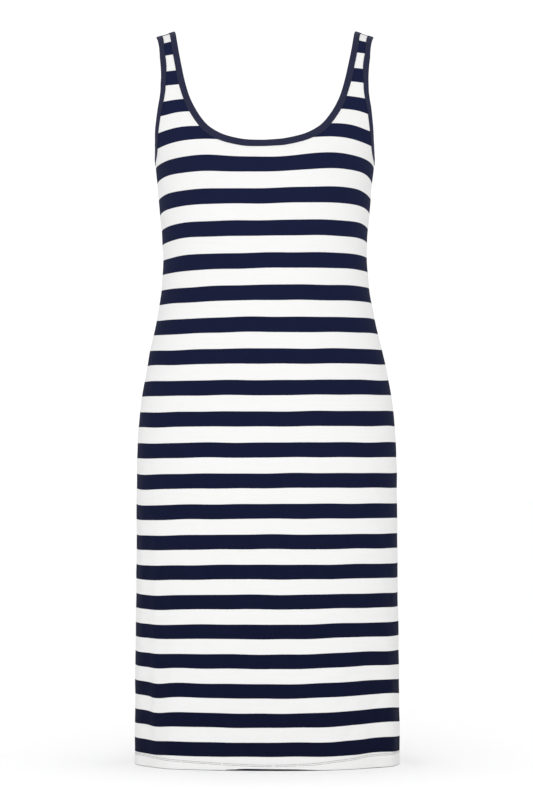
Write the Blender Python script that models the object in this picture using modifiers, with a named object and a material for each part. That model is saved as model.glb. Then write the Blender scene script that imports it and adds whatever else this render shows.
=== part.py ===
"""Sleeveless striped shift dress in knitted jersey, filled out with no wearer.

Metres, +Z up, the front faces -Y. The origin is midway between the two
straps, at the height where they pass over the shoulders.

The cloth follows one form. A place on it is given by its face (FRONT or
BACK), its turn (the angle round from the middle of that face, 90 degrees at
the side seam) and its drop (how far it lies below the shoulders). Above
ARC_DROP the straps bend over the shoulder on an arc, and there the drop runs
on along the cloth to CREST, so that it still counts the cloth's length.
"""

import math
from collections import namedtuple

import bmesh
import bpy
import numpy as np
from mathutils import Vector
from mathutils.geometry import delaunay_2d_cdt

FRONT = -1
BACK = 1
SIDE = math.pi / 2

LENGTH = 0.985
WALL = 0.0014
HEM_WALL = 0.0026
HEM_TURN_UP = 0.010
SEAM_GAP = 0.0003
BINDING_WIDTH = 0.008
BINDING_THICKNESS = 0.0026

# The straps: how they bend over the shoulder, and how they fall outwards.
SHOULDER_RADIUS = 0.042
STRAP_LEAN = math.radians(24)
STRAP_MIDDLE = 0.133
SHOULDER_FALL = 0.32
LEVEL_BELOW = 0.080
ARC_ANGLE = math.pi / 2 - STRAP_LEAN
ARC_DROP = SHOULDER_RADIUS * (1 - math.cos(ARC_ANGLE))
CREST = ARC_DROP - SHOULDER_RADIUS * ARC_ANGLE

# The form, ring by ring. Above the underarm the width is the figure's own,
# and the armholes are cut out of it.
Ring = namedtuple("Ring", "drop half_width front back shift fullness")
RINGS = [
    Ring(ARC_DROP, 0.1905, 0.0477, 0.0477, -0.0008, 2.4),
    Ring(0.070, 0.1805, 0.0735, 0.0720, -0.0008, 2.4),
    Ring(0.100, 0.1695, 0.0890, 0.0850, -0.0008, 2.4),
    Ring(0.135, 0.1592, 0.1030, 0.0930, -0.0005, 2.4),
    Ring(0.170, 0.1478, 0.1110, 0.0955, 0.0000, 2.4),
    Ring(0.185, 0.1458, 0.1145, 0.0955, 0.0000, 2.5),
    Ring(0.215, 0.1438, 0.1195, 0.0945, 0.0000, 2.6),
    Ring(0.250, 0.1404, 0.1205, 0.0905, -0.0003, 2.6),
    Ring(0.275, 0.1375, 0.1165, 0.0865, -0.0003, 2.5),
    Ring(0.304, 0.1370, 0.1110, 0.0825, -0.0003, 2.4),
    Ring(0.345, 0.1400, 0.1055, 0.0800, 0.0000, 2.3),
    Ring(0.393, 0.1478, 0.1030, 0.0830, 0.0005, 2.3),
    Ring(0.425, 0.1556, 0.1030, 0.0890, 0.0010, 2.3),
    Ring(0.457, 0.1620, 0.1040, 0.0960, 0.0015, 2.3),
    Ring(0.490, 0.1681, 0.1055, 0.1040, 0.0018, 2.35),
    Ring(0.522, 0.1721, 0.1070, 0.1110, 0.0020, 2.4),
    Ring(0.554, 0.1742, 0.1080, 0.1155, 0.0022, 2.4),
    Ring(0.620, 0.1754, 0.1090, 0.1175, 0.0022, 2.4),
    Ring(0.733, 0.1762, 0.1095, 0.1155, 0.0022, 2.35),
    Ring(0.830, 0.1772, 0.1100, 0.1130, 0.0022, 2.3),
    Ring(LENGTH, 0.1778, 0.1105, 0.1115, 0.0022, 2.25),
]

# The finished neck edge, as the binding's fold: half its width at each drop.
NeckPoint = namedtuple("NeckPoint", "drop half_width")
NECK = {
    FRONT: [
        NeckPoint(CREST, 0.1208),
        NeckPoint(0.0186, 0.1168),
        NeckPoint(0.0452, 0.1131),
        NeckPoint(0.0939, 0.0995),
        NeckPoint(0.1341, 0.0727),
        NeckPoint(0.1476, 0.0461),
        NeckPoint(0.1525, 0.0198),
        NeckPoint(0.1535, 0.0),
    ],
    BACK: [
        NeckPoint(CREST, 0.1208),
        NeckPoint(0.0186, 0.1188),
        NeckPoint(0.0452, 0.1167),
        NeckPoint(0.0900, 0.1045),
        NeckPoint(0.1300, 0.0770),
        NeckPoint(0.1440, 0.0490),
        NeckPoint(0.1492, 0.0210),
        NeckPoint(0.1503, 0.0),
    ],
}

# The finished armhole edge. Its back half lies a little further out.
ArmPoint = namedtuple("ArmPoint", "drop front_degrees back_degrees")
ARMHOLE = [
    ArmPoint(CREST, 50.0, 50.0),
    ArmPoint(0.0226, 48.2, 49.0),
    ArmPoint(0.0424, 48.4, 49.8),
    ArmPoint(0.0759, 51.3, 53.2),
    ArmPoint(0.1085, 57.8, 60.4),
    ArmPoint(0.1388, 67.0, 69.5),
    ArmPoint(0.1560, 76.5, 78.0),
    ArmPoint(0.1665, 84.0, 84.5),
    ArmPoint(0.1703, 90.0, 90.0),
]

# The largest soft folds: each begins at its top and is full at the hem.
# Positive height stands out, and lean is how far it turns on its way down.
Fold = namedtuple("Fold", "face turn lean top spread height")
FOLDS = [
    Fold(FRONT, -63, -3, 0.640, 7, -0.0050),
    Fold(FRONT, -45, 0, 0.660, 9, 0.0035),
    Fold(FRONT, -12, -4, 0.760, 10, -0.0020),
    Fold(FRONT, 22, 3, 0.740, 9, 0.0022),
    Fold(FRONT, 48, 4, 0.680, 8, -0.0040),
    Fold(FRONT, 66, 2, 0.650, 7, 0.0030),
    Fold(BACK, -58, -3, 0.660, 8, 0.0045),
    Fold(BACK, -33, 2, 0.700, 9, -0.0040),
    Fold(BACK, 2, 3, 0.640, 10, 0.0050),
    Fold(BACK, 30, -2, 0.720, 8, -0.0045),
    Fold(BACK, 60, 3, 0.680, 8, 0.0040),
]

# How finely the cloth is divided.
SHEET_SCALE = 0.14
COLUMN = math.radians(7.5)
EDGE_STEP = 0.011
CLEAR_OF_EDGE = 0.0075
SHOULDER_ROW = 0.007
BODY_ROW = 0.029

# How finely an edge is first followed, the step that slopes are measured over,
# and how often a moved edge is corrected onto the form.
EDGE_SAMPLES = 200
SMALL_STEP = 1e-4
CORRECTIONS = 6

# The folded binding's section: across runs from the folded edge to the sewn
# line, height from the middle of its thickness.
BindingCorner = namedtuple("BindingCorner", "across height")
BINDING_SECTION = [
    BindingCorner(1.00, 0.42),
    BindingCorner(0.55, 0.50),
    BindingCorner(0.12, 0.40),
    BindingCorner(0.00, 0.00),
    BindingCorner(0.12, -0.40),
    BindingCorner(0.55, -0.50),
    BindingCorner(1.00, -0.42),
]


def smooth(stations, values, at):
    """A smooth curve through the values that rises and falls only where they do."""
    stations, values = np.asarray(stations, float), np.asarray(values, float)
    slopes = np.diff(values) / np.diff(stations)
    tangents = np.zeros(len(values))
    tangents[0], tangents[-1] = slopes[0], slopes[-1]
    before, after = slopes[:-1], slopes[1:]
    same_way = before * after > 0
    total = np.where(same_way, before + after, 1.0)
    tangents[1:-1] = np.where(same_way, 2 * before * after / total, 0.0)
    at = np.clip(at, stations[0], stations[-1])
    left = np.clip(np.searchsorted(stations, at) - 1, 0, len(slopes) - 1)
    step = stations[left + 1] - stations[left]
    t = (at - stations[left]) / step
    return (
        values[left] * (1 + 2 * t) * (1 - t) ** 2
        + values[left + 1] * (3 - 2 * t) * t**2
        + step * (tangents[left] * t * (1 - t) ** 2 - tangents[left + 1] * t**2 * (1 - t))
    )


def ring(column, drop):
    """One of the form's sizes at a drop."""
    drops = [r.drop for r in RINGS]
    return smooth(drops, [getattr(r, column) for r in RINGS], drop)


def ease(x):
    """0 below 0, 1 above 1, and a soft step between."""
    x = np.clip(x, 0, 1)
    return x * x * (3 - 2 * x)


def fold_height(face, turn, drop):
    """How far the soft folds stand out at a place."""
    height = np.zeros(np.broadcast(turn, drop).shape)
    for fold in FOLDS:
        if fold.face == face:
            share = ease((drop - fold.top) / (LENGTH - fold.top))
            middle = fold.turn + fold.lean * share
            away = (np.degrees(turn) - middle) / fold.spread
            height += fold.height * share * np.exp(-(away**2))
    return height


def on_form(face, turn, drop):
    """The point of the form at a place."""
    turn, drop = np.asarray(turn, float), np.asarray(drop, float)
    bend = np.clip((drop - CREST) / SHOULDER_RADIUS, 0, ARC_ANGLE)
    over = drop < ARC_DROP
    fall = np.where(over, SHOULDER_RADIUS * (1 - np.cos(bend)), drop)
    reach = np.where(over, np.sin(bend) / math.sin(ARC_ANGLE), 1.0)
    depth = ring("front" if face == FRONT else "back", drop) * reach
    power = ring("fullness", drop)
    across = np.sin(turn)
    rounding = np.clip(1 - np.abs(across) ** power, 0, 1) ** (1 / power)
    half_width = ring("half_width", drop)
    proud = 1 + fold_height(face, turn, drop) / np.hypot(half_width * across, depth * rounding + 1e-6)
    x = half_width * across * proud
    y = face * depth * rounding * proud
    tilt = SHOULDER_FALL * ease((LEVEL_BELOW - drop) / (LEVEL_BELOW - CREST))
    z = -fall - tilt * (np.abs(x) - STRAP_MIDDLE)
    return np.stack([x + ring("shift", drop), y, z], axis=-1)


def directions(face, turn, drop):
    """Unit vectors on the form: the way turn grows, the way drop grows, and out."""
    inner = np.clip(turn - SMALL_STEP, -SIDE, SIDE)
    outer = np.clip(turn + SMALL_STEP, -SIDE, SIDE)
    round_way = on_form(face, outer, drop) - on_form(face, inner, drop)
    above = np.maximum(drop - SMALL_STEP, CREST)
    down = on_form(face, turn, drop + SMALL_STEP) - on_form(face, turn, above)
    round_way /= np.linalg.norm(round_way, axis=-1, keepdims=True)
    down /= np.linalg.norm(down, axis=-1, keepdims=True)
    out = -face * np.cross(down, round_way)
    return round_way, down, out / np.linalg.norm(out, axis=-1, keepdims=True)


def resampled(face, turn, drop, step):
    """The same edge with evenly spaced points."""
    points = on_form(face, turn, drop)
    gone = np.concatenate([[0], np.cumsum(np.linalg.norm(np.diff(points, axis=0), axis=1))])
    even = np.linspace(0, gone[-1], max(2, round(gone[-1] / step)) + 1)
    return np.interp(even, gone, turn), np.interp(even, gone, drop)


def neck_edge(face):
    """The neck edge from the -X strap's crest to the +X strap's."""
    table = NECK[face]
    count = np.arange(len(table))
    at = np.linspace(0, count[-1], EDGE_SAMPLES)
    drop = smooth(count, [p.drop for p in table], at)
    half_width = smooth(count, [p.half_width for p in table], at)
    turn = np.arcsin(half_width / ring("half_width", drop))
    turn = np.concatenate([-turn, turn[-2::-1]])
    drop = np.concatenate([drop, drop[-2::-1]])
    return resampled(face, turn, drop, EDGE_STEP)


def armhole_edge(face, side):
    """One face's half of an armhole edge, from the strap's crest to the side seam."""
    drops = [p.drop for p in ARMHOLE]
    degrees = [p.front_degrees if face == FRONT else p.back_degrees for p in ARMHOLE]
    drop = CREST + (drops[-1] - CREST) * np.sin(np.linspace(0, SIDE, EDGE_SAMPLES))
    turn = side * np.radians(smooth(drops, degrees, drop))
    return resampled(face, turn, drop, EDGE_STEP)


def moved_in(face, turn, drop, distance, outwards):
    """An edge moved into the cloth, which lies below it and towards greater turn if outwards is 1."""
    points = on_form(face, turn, drop)
    round_way, down, out = directions(face, turn, drop)
    along = np.gradient(points, axis=0)
    along /= np.linalg.norm(along, axis=1, keepdims=True)
    inward = np.cross(out, along)
    cloth = outwards * np.sign(turn)[:, None] * round_way + 0.3 * down
    inward *= np.sign((inward * cloth).sum(axis=1))[:, None]
    goal = points + distance * inward
    for _ in range(CORRECTIONS):
        miss = goal - on_form(face, turn, drop)
        inner = np.clip(turn - SMALL_STEP, -SIDE, SIDE)
        outer = np.clip(turn + SMALL_STEP, -SIDE, SIDE)
        per_turn = on_form(face, outer, drop) - on_form(face, inner, drop)
        per_turn /= (outer - inner)[:, None]
        per_drop = on_form(face, turn, drop + SMALL_STEP) - on_form(face, turn, drop)
        per_drop /= SMALL_STEP
        tt, dd = (per_turn**2).sum(axis=1), (per_drop**2).sum(axis=1)
        td = (per_turn * per_drop).sum(axis=1)
        mt, md = (miss * per_turn).sum(axis=1), (miss * per_drop).sum(axis=1)
        whole = tt * dd - td**2
        turn = np.clip(turn + (mt * dd - md * td) / whole, -SIDE, SIDE)
        drop = np.maximum(drop + (md * tt - mt * td) / whole, CREST)
    return turn, drop


def sewn_edges(face, distance):
    """The neck edge and the two armhole edges, moved into the cloth by a distance."""
    neck = moved_in(face, *neck_edge(face), distance, outwards=1)
    neck[1][[0, -1]] = CREST
    armholes = []
    for side in (-1, 1):
        turn, drop = moved_in(face, *armhole_edge(face, side), distance, outwards=-1)
        drop[0] = CREST
        turn[-1] = side * SIDE
        armholes.append((turn, drop))
    return neck, armholes


def row_drops():
    """The drops of the cloth's rows, closer where it bends over the shoulder."""
    shoulder = np.arange(CREST + SHOULDER_ROW, LEVEL_BELOW, SHOULDER_ROW)
    fold = LENGTH - HEM_TURN_UP
    body = np.linspace(LEVEL_BELOW, fold, round((fold - LEVEL_BELOW) / BODY_ROW) + 1)
    return np.concatenate([shoulder, body, [LENGTH]])


def panel_outline(face):
    """The panel's cut edge as one loop of places."""
    neck, (minus, plus) = sewn_edges(face, BINDING_WIDTH + SEAM_GAP)
    rows = row_drops()
    seam = rows[(rows > plus[1][-1] + CLEAR_OF_EDGE) & (rows < LENGTH)]
    hem = np.arange(SIDE, -SIDE - COLUMN / 2, -COLUMN)
    loop = [
        np.stack(neck, axis=1),
        np.stack(plus, axis=1),
        np.stack([np.full(len(seam), SIDE), seam], axis=1),
        np.stack([hem, np.full(len(hem), LENGTH)], axis=1),
        np.stack([np.full(len(seam), -SIDE), seam[::-1]], axis=1),
        np.stack(minus, axis=1)[::-1],
    ]
    return np.concatenate(loop)


def new_object(name, points, faces, material, collection):
    """A mesh object with smooth faces that all point the same way."""
    mesh = bpy.data.meshes.new(name)
    mesh.from_pydata([tuple(p) for p in points], [], faces)
    shape = bmesh.new()
    shape.from_mesh(mesh)
    bmesh.ops.recalc_face_normals(shape, faces=shape.faces)
    shape.to_mesh(mesh)
    shape.free()
    mesh.materials.append(material)
    mesh.shade_smooth()
    placed = bpy.data.objects.new(name, mesh)
    collection.objects.link(placed)
    return placed


def panel(name, face, material, collection):
    """The front or the back: one piece of cloth from the straps to the turned-up hem."""
    outline = panel_outline(face)
    columns = np.arange(-SIDE + COLUMN, SIDE - COLUMN / 2, COLUMN)
    inside = np.array([(turn, drop) for drop in row_drops()[:-1] for turn in columns])
    scale = np.array([SHEET_SCALE, 1.0])
    away = np.linalg.norm((inside[:, None] - outline[None]) * scale, axis=2).min(axis=1)
    inside = inside[away > CLEAR_OF_EDGE]
    flat = [Vector(place) for place in np.concatenate([outline, inside]) * scale]
    border = list(range(len(outline)))
    places, _, faces, *_ = delaunay_2d_cdt(flat, [], [border], 1, 1e-7)
    places = np.array(places) / scale
    used = sorted({corner for f in faces for corner in f})
    number = {corner: i for i, corner in enumerate(used)}
    turn, drop = places[used].T
    points = on_form(face, turn, drop)
    points[:, 1] += face * SEAM_GAP / 2
    cloth = new_object(name, points, [[number[c] for c in f] for f in faces], material, collection)
    group = cloth.vertex_groups.new(name="thickness")
    for index, at in enumerate(drop):
        turned_up = at > LENGTH - HEM_TURN_UP + 1e-6
        group.add([index], 1.0 if turned_up else WALL / HEM_WALL, "REPLACE")
    wall = cloth.modifiers.new("wall", "SOLIDIFY")
    wall.thickness = HEM_WALL
    wall.offset = 0
    wall.vertex_group = group.name


def binding(name, rows, material, collection):
    """A folded strip along a closed edge: rows holds the edge's and the sewn line's points."""
    edge, sewn = rows
    inward = sewn - edge
    along = np.roll(edge, -1, axis=0) - np.roll(edge, 1, axis=0)
    out = np.cross(along, inward)
    out /= np.linalg.norm(out, axis=1, keepdims=True)
    corners = [
        edge + corner.across * inward + corner.height * BINDING_THICKNESS * out
        for corner in BINDING_SECTION
    ]
    points = np.stack(corners, axis=1).reshape(-1, 3)
    count, sides = len(edge), len(corners)
    faces = []
    for i in range(count):
        here, following = i * sides, (i + 1) % count * sides
        for j in range(sides):
            k = (j + 1) % sides
            faces.append((here + j, here + k, following + k, following + j))
    new_object(name, points, faces, material, collection)


def closed_rows(front_edge, front_sewn, back_edge, back_sewn):
    """The points of a ring's edge and sewn line, with the back's run turned to follow the front's."""
    rows = []
    for front, back in ((front_edge, back_edge), (front_sewn, back_sewn)):
        ahead = on_form(FRONT, *front)
        behind = on_form(BACK, *back)[::-1]
        rows.append(np.concatenate([ahead, behind[1:-1]]))
    return rows


def neck_binding(material, collection):
    """The ring round the neck, over both shoulders."""
    runs = []
    for face in (FRONT, BACK):
        runs += [neck_edge(face), sewn_edges(face, BINDING_WIDTH)[0]]
    binding("neck_binding", closed_rows(*runs), material, collection)


def armhole_binding(name, side, material, collection):
    """The ring round one armhole, over the shoulder and under the arm."""
    runs = []
    for face in (FRONT, BACK):
        sewn = sewn_edges(face, BINDING_WIDTH)[1]
        runs += [armhole_edge(face, side), sewn[(side + 1) // 2]]
    binding(name, closed_rows(*runs), material, collection)


def jersey(name, colour, roughness):
    """A plain knitted cloth in one colour."""
    material = bpy.data.materials.new(name)
    material.use_nodes = True
    shader = material.node_tree.nodes["Principled BSDF"]
    shader.inputs["Base Color"].default_value = (*colour, 1)
    shader.inputs["Roughness"].default_value = roughness
    shader.inputs["Metallic"].default_value = 0
    return material


def main():
    for old in list(bpy.data.objects):
        bpy.data.objects.remove(old)
    dress = bpy.data.collections.new("shift_dress")
    bpy.context.scene.collection.children.link(dress)
    panel("front", FRONT, jersey("front_jersey", (0.88, 0.88, 0.87), 0.9), dress)
    panel("back", BACK, jersey("back_jersey", (0.86, 0.86, 0.85), 0.9), dress)
    neck_binding(jersey("neck_navy", (0.014, 0.017, 0.040), 0.85), dress)
    armhole_binding("armhole_binding_left", 1, jersey("left_navy", (0.014, 0.017, 0.040), 0.85), dress)
    armhole_binding("armhole_binding_right", -1, jersey("right_navy", (0.014, 0.017, 0.040), 0.85), dress)


main()
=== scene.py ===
"""The looks of a sleeveless striped shift dress in knitted jersey, filled out with no wearer.

Metres, +Z up, the front faces -Y. The origin is midway between the two
straps, at the height where they pass over the shoulders.

The cloth follows one form. A place on it is given by its face (FRONT or
BACK), its turn (the angle round from the middle of that face, 90 degrees at
the side seam) and its drop (how far it lies below the shoulders). Above
ARC_DROP the straps bend over the shoulder on an arc, and there the drop runs
on along the cloth to CREST. Past the side seams and the shoulder seams, and
past the fold of the hem, turn and drop run on into the cloth that is turned
in there. The tables give turns in degrees.
"""

import math
from collections import namedtuple

import bmesh
import bpy
import numpy as np
from bpy.props import FloatProperty, FloatVectorProperty, PointerProperty
from bpy.types import Operator, Panel, PropertyGroup
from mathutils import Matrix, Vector
from mathutils.geometry import delaunay_2d_cdt


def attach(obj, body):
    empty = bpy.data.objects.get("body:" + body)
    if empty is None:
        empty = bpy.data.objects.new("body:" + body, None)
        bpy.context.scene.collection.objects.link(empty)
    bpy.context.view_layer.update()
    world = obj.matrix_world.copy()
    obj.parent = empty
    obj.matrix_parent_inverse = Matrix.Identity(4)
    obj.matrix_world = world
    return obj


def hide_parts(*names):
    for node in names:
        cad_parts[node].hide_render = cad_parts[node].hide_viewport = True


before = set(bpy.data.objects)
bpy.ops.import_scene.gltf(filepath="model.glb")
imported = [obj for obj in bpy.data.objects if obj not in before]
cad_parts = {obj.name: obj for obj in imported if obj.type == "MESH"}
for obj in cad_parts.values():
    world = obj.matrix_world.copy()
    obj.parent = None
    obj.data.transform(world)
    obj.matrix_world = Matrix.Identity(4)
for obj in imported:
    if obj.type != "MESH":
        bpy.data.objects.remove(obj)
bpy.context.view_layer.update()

bl_info = {
    "name": "Striped Shift Dress",
    "version": (1, 0, 0),
    "blender": (4, 5, 0),
    "location": "3D Viewport > Sidebar > Dress",
    "description": "Sews and finishes a striped jersey shift dress over its form",
    "category": "Object",
}

FRONT = -1
BACK = 1
FACES = {FRONT: "front", BACK: "back"}
SIDE = math.pi / 2
LENGTH = 0.985


def table(columns, *rows):
    """Rows with named columns."""
    row_of = namedtuple("Row", columns)
    return [row_of(*row) for row in rows]


# The form

SHOULDER_RADIUS = 0.042
STRAP_LEAN = math.radians(24)
STRAP_MIDDLE = 0.133
SHOULDER_FALL = 0.32
LEVEL_BELOW = 0.080
ARC_ANGLE = math.pi / 2 - STRAP_LEAN
ARC_DROP = SHOULDER_RADIUS * (1 - math.cos(ARC_ANGLE))
CREST = ARC_DROP - SHOULDER_RADIUS * ARC_ANGLE

RINGS = table(
    "drop half_width front back shift fullness",
    (ARC_DROP, 0.1905, 0.0477, 0.0477, -0.0001, 2.4),
    (0.070, 0.1805, 0.0735, 0.0720, -0.0005, 2.4),
    (0.100, 0.1695, 0.0890, 0.0850, -0.0006, 2.4),
    (0.135, 0.1592, 0.1030, 0.0930, -0.0010, 2.4),
    (0.170, 0.1478, 0.1110, 0.0955, -0.0003, 2.4),
    (0.185, 0.1469, 0.1145, 0.0955, -0.0002, 2.5),
    (0.215, 0.1434, 0.1195, 0.0945, -0.0005, 2.6),
    (0.250, 0.1408, 0.1205, 0.0905, -0.0006, 2.6),
    (0.275, 0.1384, 0.1165, 0.0865, -0.0003, 2.5),
    (0.304, 0.1373, 0.1110, 0.0825, 0.0000, 2.4),
    (0.345, 0.1400, 0.1055, 0.0800, 0.0006, 2.3),
    (0.393, 0.1483, 0.1030, 0.0830, 0.0012, 2.3),
    (0.425, 0.1556, 0.1030, 0.0890, 0.0017, 2.3),
    (0.457, 0.1620, 0.1040, 0.0960, 0.0021, 2.3),
    (0.490, 0.1681, 0.1055, 0.1040, 0.0023, 2.35),
    (0.522, 0.1717, 0.1070, 0.1110, 0.0025, 2.4),
    (0.554, 0.1742, 0.1080, 0.1155, 0.0023, 2.4),
    (0.620, 0.1754, 0.1090, 0.1175, 0.0025, 2.4),
    (0.733, 0.1759, 0.1095, 0.1155, 0.0027, 2.35),
    (0.830, 0.1772, 0.1110, 0.1130, 0.0028, 2.3),
    (LENGTH, 0.1785, 0.1145, 0.1115, 0.0031, 2.25),
)

# The finished neck edge, as the binding's fold: half its width at each drop.
NECK_COLUMNS = "drop half_width"
NECK = {
    FRONT: table(
        NECK_COLUMNS,
        (CREST, 0.1226),
        (0.0186, 0.1176),
        (0.0452, 0.1124),
        (0.0939, 0.0991),
        (0.1334, 0.0727),
        (0.1467, 0.0461),
        (0.1518, 0.0198),
        (0.1527, 0.0),
    ),
    BACK: table(
        NECK_COLUMNS,
        (CREST, 0.1226),
        (0.0186, 0.1188),
        (0.0452, 0.1167),
        (0.0900, 0.1045),
        (0.1300, 0.0770),
        (0.1440, 0.0490),
        (0.1492, 0.0210),
        (0.1503, 0.0),
    ),
}

# The neck edge isn't quite level: it rises a little towards +X inside this
# distance from the middle, and falls as much towards -X.
NECK_TILT = 0.0008
NECK_TILT_REACH = 0.090

# The finished armhole edge, as its turn on each face at each drop.
ARMHOLE = table(
    "drop front back",
    (CREST, 50.6, 50.6),
    (0.0226, 48.2, 49.0),
    (0.0424, 48.2, 49.6),
    (0.0759, 51.2, 53.1),
    (0.1085, 59.0, 61.4),
    (0.1388, 67.7, 70.0),
    (0.1560, 75.8, 77.6),
    (0.1665, 84.0, 84.5),
    (0.1703, 90.0, 90.0),
)

# The largest soft folds: each begins at its top and is full at the hem.
FOLD_COLUMNS = "turn lean top spread height"
FOLDS = {
    FRONT: table(
        FOLD_COLUMNS,
        (-63, -3, 0.640, 9, -0.0038),
        (-45, 0, 0.660, 9, 0.0035),
        (-12, -4, 0.760, 10, -0.0020),
        (22, 3, 0.740, 9, 0.0022),
        (48, 4, 0.680, 8, -0.0040),
        (66, 2, 0.650, 7, 0.0030),
    ),
    BACK: table(
        FOLD_COLUMNS,
        (-58, -3, 0.660, 8, 0.0045),
        (-33, 2, 0.700, 9, -0.0040),
        (2, 3, 0.640, 10, 0.0050),
        (30, -2, 0.720, 8, -0.0045),
        (60, 3, 0.680, 8, 0.0040),
    ),
}

# Smaller creases, each a soft ridge (height above 0) or trough along a line
# of places, widest and deepest at its middle.
CREASE_COLUMNS = "turn drop end_turn end_drop spread height"
CREASES = {
    FRONT: table(
        CREASE_COLUMNS,
        (-56, 0.640, -59, 0.975, 0.0075, 0.0016),
        (-50, 0.700, -51, 0.972, 0.0090, -0.0012),
        (-34, 0.920, -19, 0.952, 0.0045, -0.0014),
        (-29, 0.905, -12, 0.931, 0.0060, 0.0010),
        (34, 0.955, 42, 0.916, 0.0042, -0.0023),
        (39, 0.972, 53, 0.925, 0.0060, 0.0014),
        (50, 0.922, 66, 0.860, 0.0060, -0.0014),
        (60, 0.560, 74, 0.960, 0.0090, -0.0010),
        (12, 0.845, 30, 0.862, 0.0070, -0.0009),
        (33, 0.871, 46, 0.854, 0.0045, -0.0014),
        (30, 0.903, 39, 0.889, 0.0042, -0.0012),
        (-72, 0.890, -52, 0.907, 0.0045, -0.0015),
        (-73, 0.926, -57, 0.945, 0.0045, -0.0015),
        (-10, 0.891, 2, 0.906, 0.0048, -0.0010),
        (1, 0.904, 8, 0.892, 0.0042, -0.0013),
        (-32, 0.895, -19, 0.899, 0.0042, -0.0012),
        (-57, 0.940, -48, 0.928, 0.0045, -0.0015),
        (-18, 0.868, -10, 0.852, 0.0048, -0.0009),
        (-70, 0.560, -72, 0.930, 0.0090, 0.0011),
        (-78, 0.215, -46, 0.262, 0.0080, -0.0008),
        (-80, 0.236, -50, 0.292, 0.0090, 0.0006),
        (76, 0.208, 50, 0.238, 0.0075, -0.0009),
        (80, 0.232, 48, 0.281, 0.0090, 0.0006),
        (-84, 0.372, -52, 0.352, 0.0075, -0.0007),
        (84, 0.386, 58, 0.371, 0.0070, -0.0008),
        (82, 0.352, 44, 0.330, 0.0085, 0.0005),
        (-22, 0.745, -6, 0.742, 0.0080, -0.0004),
    ),
    BACK: table(
        CREASE_COLUMNS,
        (-80, 0.205, -42, 0.250, 0.0080, -0.0011),
        (78, 0.212, 38, 0.262, 0.0085, -0.0012),
        (-82, 0.402, -30, 0.372, 0.0075, -0.0012),
        (-70, 0.362, -14, 0.346, 0.0085, 0.0009),
        (84, 0.392, 26, 0.366, 0.0080, -0.0013),
        (64, 0.348, 18, 0.330, 0.0080, 0.0008),
        (-24, 0.398, 16, 0.404, 0.0090, -0.0009),
        (-56, 0.470, -60, 0.700, 0.0100, -0.0010),
        (52, 0.500, 60, 0.760, 0.0100, -0.0011),
        (-42, 0.935, -22, 0.900, 0.0055, -0.0010),
        (14, 0.960, 27, 0.905, 0.0055, -0.0011),
        (44, 0.968, 50, 0.830, 0.0080, 0.0012),
        (-8, 0.700, -5, 0.960, 0.0085, -0.0010),
    ),
}

# How far creases stay from a sewn edge, how many points a crease's line has,
# and how many spreads to each side of it are worked out. Its height swells to
# the middle by CREASE_FULLNESS, and beats along the line by CREASE_UNEVEN,
# shuffled from crease to crease.
CREASE_CLEAR = 0.016
CREASE_POINTS = 25
CREASE_REACH = 4
CREASE_FULLNESS = 0.7
CREASE_UNEVEN = 0.25
CREASE_BEATS = 9
CREASE_SHUFFLE = 40

# Slow waves all over the cloth, a fraction of a millimetre high.
WAVE_COLUMNS = "round_length drop_length phase size"
RIPPLES = table(
    WAVE_COLUMNS,
    (0.231, 0.071, 0.4, 0.00022),
    (-0.173, 0.113, 2.1, 0.00020),
    (0.097, 0.049, 4.0, 0.00012),
    (-0.321, 0.037, 5.2, 0.00010),
)

# The stripes

# The pattern's own repeat, how far the knit's fuzz moves a stripe's edge, how
# far the two yarns blend there, and how deep the knit's relief is.
STRIPE_REPEAT = 0.040
STRIPE_FUZZ = 0.0006
STRIPE_BLUR = 0.00035
KNIT_DEPTH = 0.00022

# How far below the shoulders the navy stripes begin at the middle of the
# front. Their repeat is a little shorter towards the hem.
STRIPES = table(
    "number drop",
    (-6, -0.0700),
    (-5, -0.0283),
    (-4, 0.0138),
    (-3, 0.0560),
    (-2, 0.0970),
    (-1, 0.1370),
    (0, 0.1767),
    (4, 0.3449),
    (8, 0.5122),
    (12, 0.6746),
    (16, 0.8325),
    (19, 0.9485),
    (20, 0.9868),
    (21, 1.0247),
)

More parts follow.
